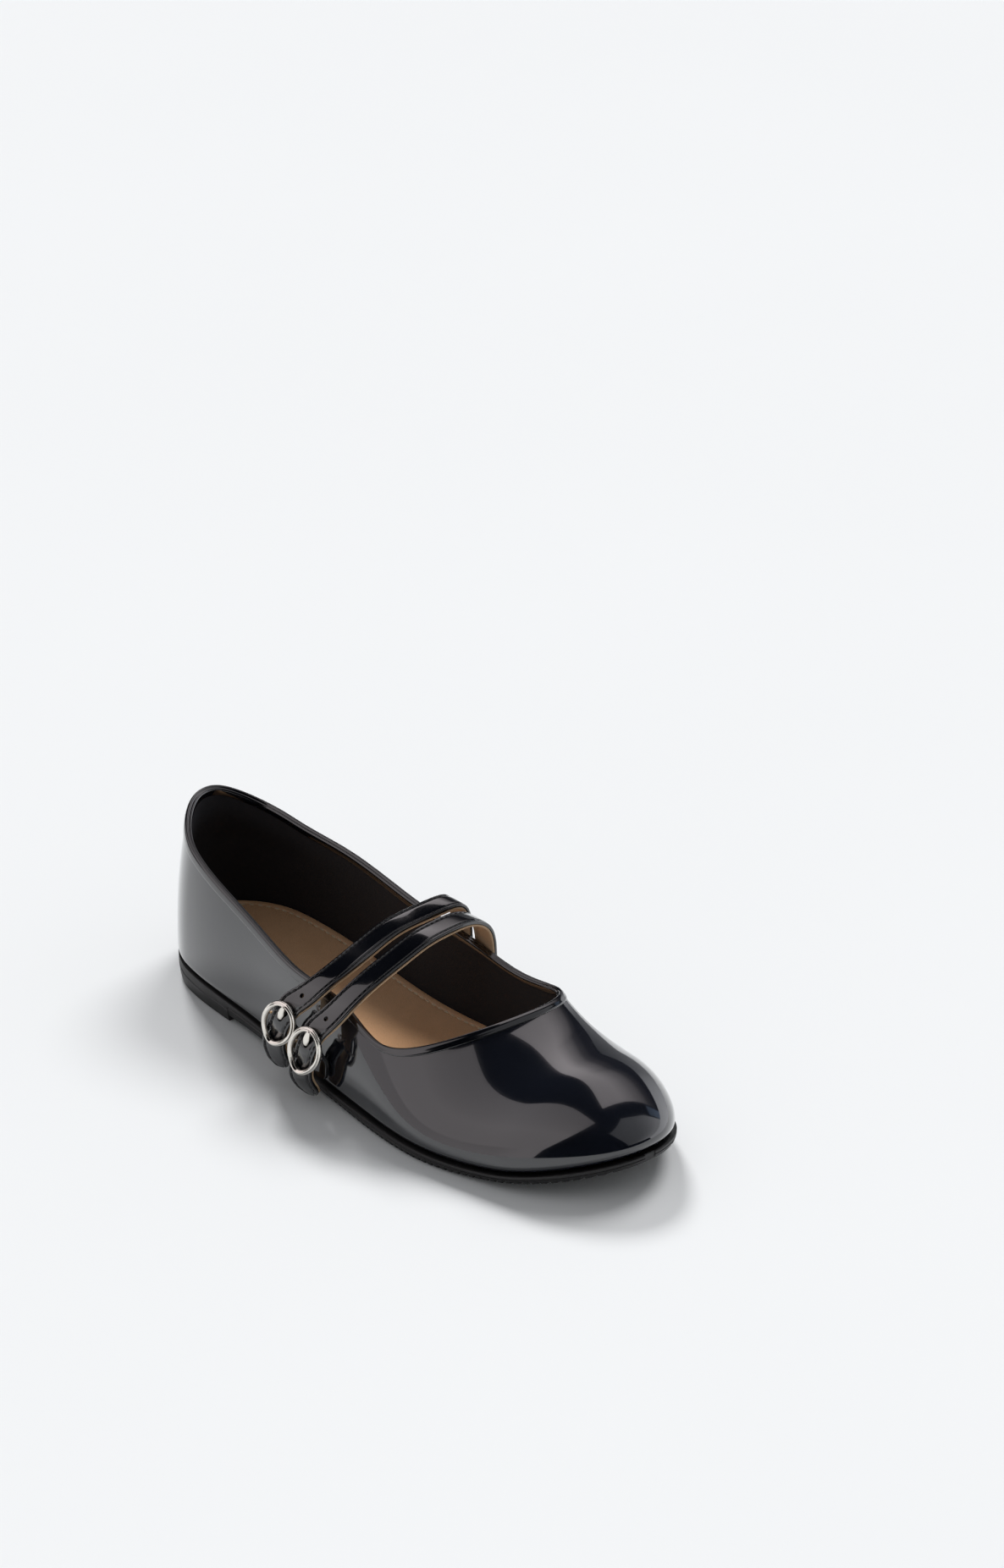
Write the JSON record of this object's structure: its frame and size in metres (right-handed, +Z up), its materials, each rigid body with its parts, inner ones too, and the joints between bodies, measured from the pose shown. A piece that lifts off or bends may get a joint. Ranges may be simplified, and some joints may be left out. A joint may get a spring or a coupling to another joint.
{
  "type": "mary jane shoe",
  "caption": "Flat round-toed mary jane in black patent with slim buckled straps over the instep, a tan insole and a thin ribbed sole.",
  "frame": {"origin": "centre of the bounding box on the floor", "axes": "+Z up, toe at -Y, heel at +Y, the outer (lateral) side with the buckles at -X, the inner (medial) side at +X"},
  "size_m": [0.0944, 0.2506, 0.0643],
  "materials": {
    "patent": "black patent, mirror gloss, rolled binding and black lining",
    "strap": "black patent straps with a tan backing and black stitching",
    "sole_rubber": "satin black moulded rubber",
    "insole": "matte tan sock with a stitched edge",
    "buckle": "polished nickel plate"
  },
  "bodies": {
    "root": {"outsole": "sole_rubber", "upper": "patent", "insole": "insole", "strap_rear": "strap", "strap_front": "strap", "buckle_rear": "buckle", "buckle_front": "buckle", "tab_rear": "strap", "tab_front": "strap"}
  },
  "joints": []
}
